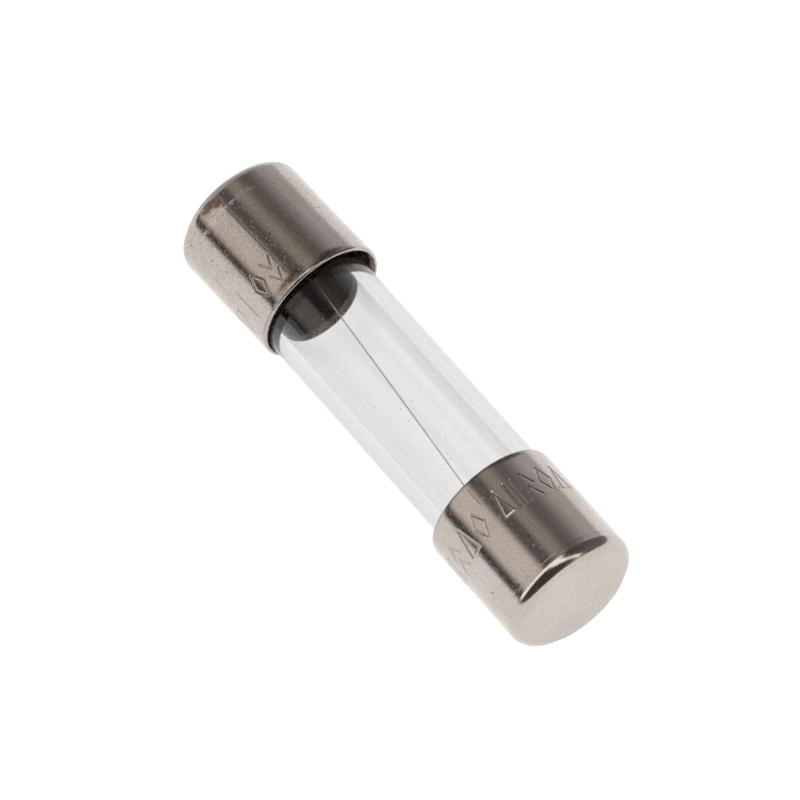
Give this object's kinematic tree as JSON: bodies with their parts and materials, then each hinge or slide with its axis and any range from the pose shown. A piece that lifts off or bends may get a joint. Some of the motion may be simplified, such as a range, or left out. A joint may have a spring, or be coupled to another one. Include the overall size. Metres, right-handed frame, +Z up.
{
  "type": "cartridge fuse",
  "caption": "Small glass cartridge fuse: a clear tube with a nickel-plated cap on each end and a fine wire strung slantwise through the bore.",
  "frame": {"origin": "on the glass tube's axis, midway between the two end faces", "axes": "+X along the fuse from the left cap to the right cap, +Z up, with the fuse lying on its side on a surface at z = -2.61 mm"},
  "size_m": [0.0205, 0.0054, 0.0052],
  "materials": {
    "glass": "clear drawn glass, glossy",
    "nickel_plate": "nickel-plated brass, worn satin",
    "tinned_wire": "bright tinned copper wire",
    "solder": "dull grey soft solder"
  },
  "bodies": {
    "root": {"glass_tube": "glass", "left_end_cap": "nickel_plate", "right_end_cap": "nickel_plate", "fuse_wire": "tinned_wire", "left_solder": "solder", "right_solder": "solder"}
  },
  "joints": []
}
